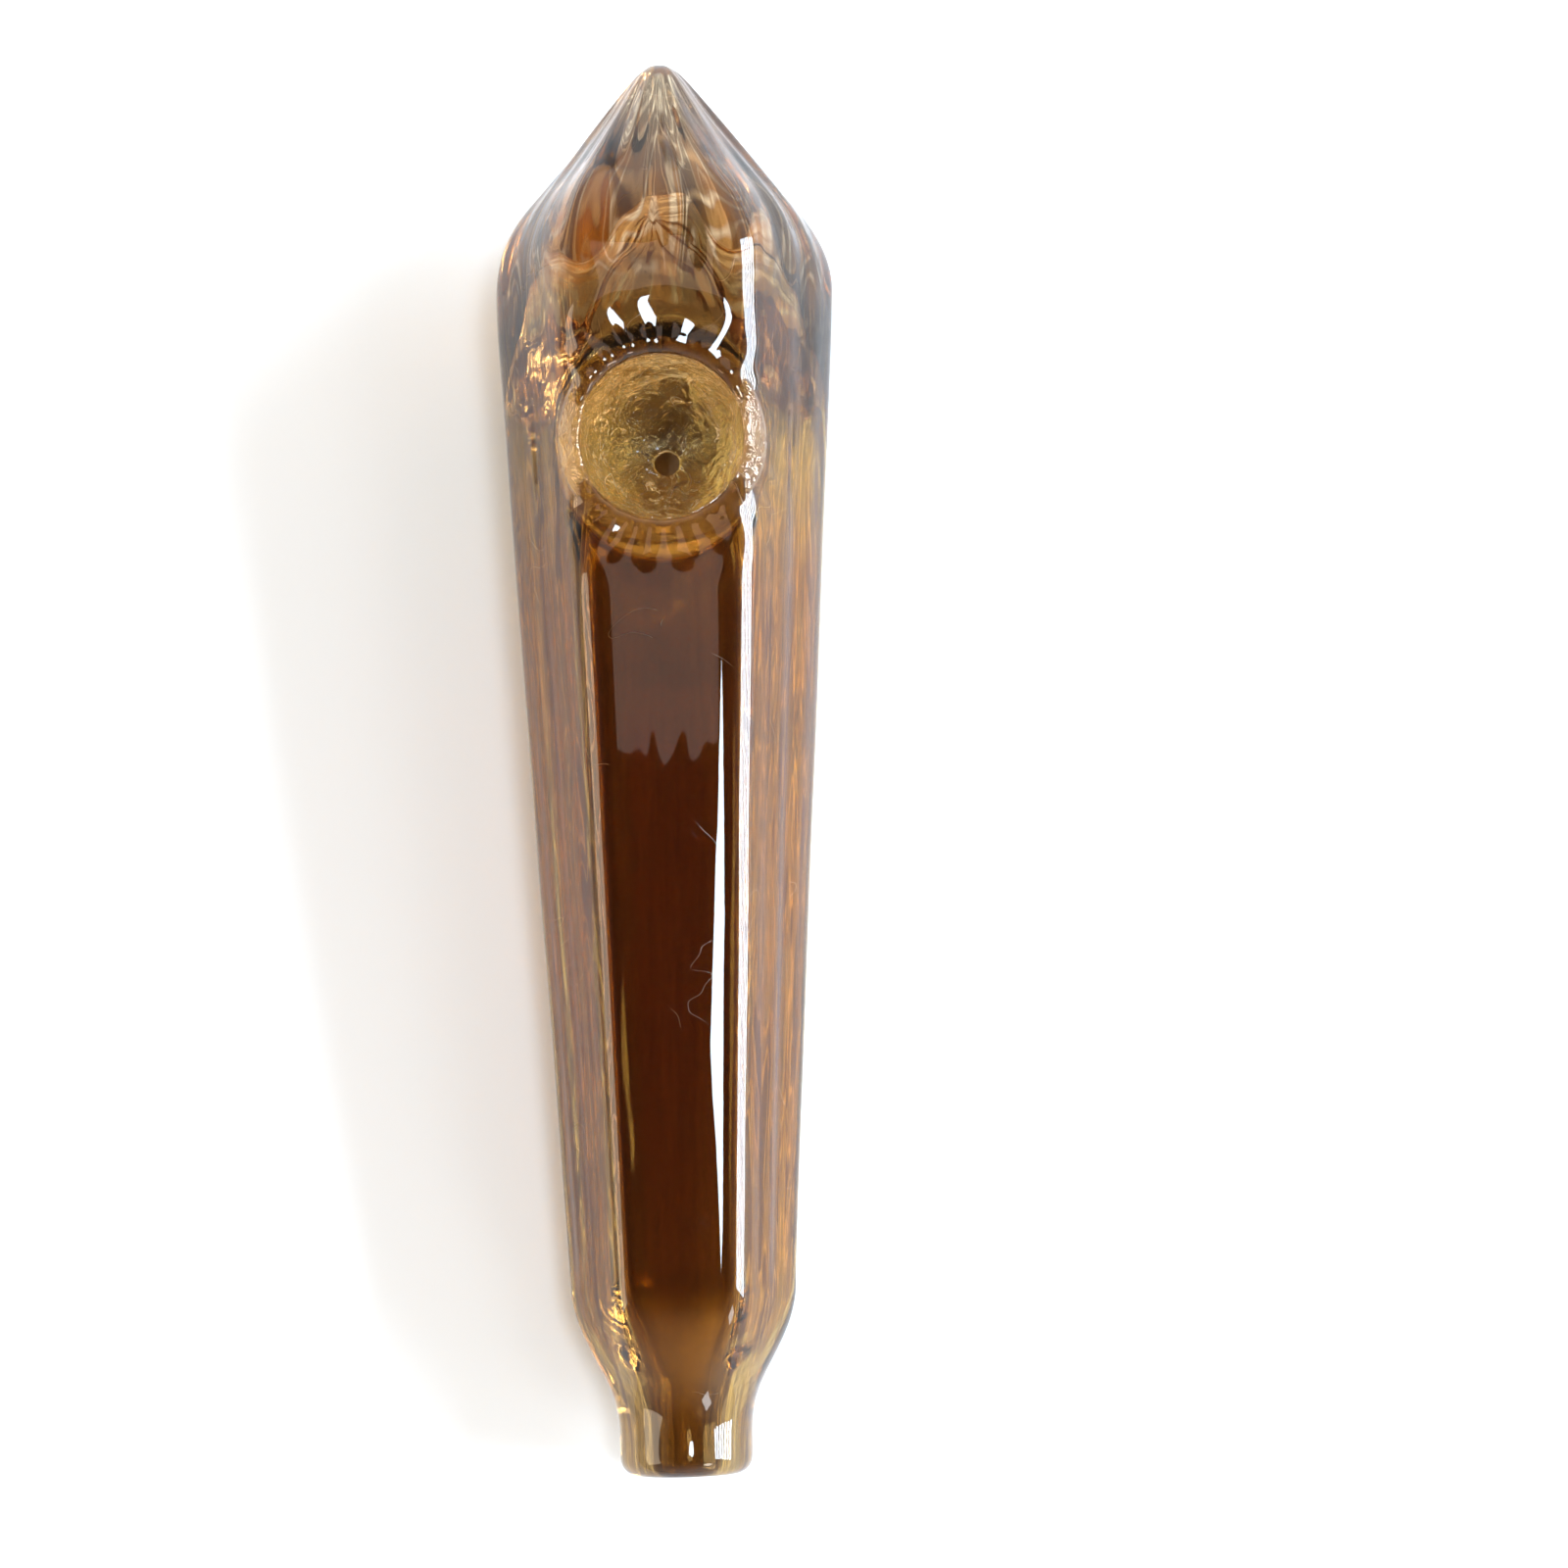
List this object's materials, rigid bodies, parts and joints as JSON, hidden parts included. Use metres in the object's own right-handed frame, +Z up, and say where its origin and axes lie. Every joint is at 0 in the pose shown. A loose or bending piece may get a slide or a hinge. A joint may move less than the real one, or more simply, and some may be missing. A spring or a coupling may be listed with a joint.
{
  "type": "glass hand pipe",
  "caption": "Amber glass hand pipe shaped as a crystal point: tapered six-sided hollow barrel, solid faceted tip, sunk bowl with a draught hole, and a round mouthpiece.",
  "frame": {"origin": "on the surface it lies on, under the middle of the pipe's length and width", "axes": "+Y towards the pointed tip, -Y towards the mouthpiece, +Z up out of the bowl's side, +X to the right when looking down on the bowl with the tip away"},
  "size_m": [0.0266, 0.1051, 0.0236],
  "materials": {
    "amber_glass": "fire-polished amber glass with a thin lustre film"
  },
  "bodies": {
    "root": {"crystal_point": "amber_glass", "barrel": "amber_glass", "bowl_rim": "amber_glass", "bowl_cup": "amber_glass", "shoulder": "amber_glass", "mouthpiece_neck": "amber_glass", "mouth_lip": "amber_glass"}
  },
  "joints": []
}
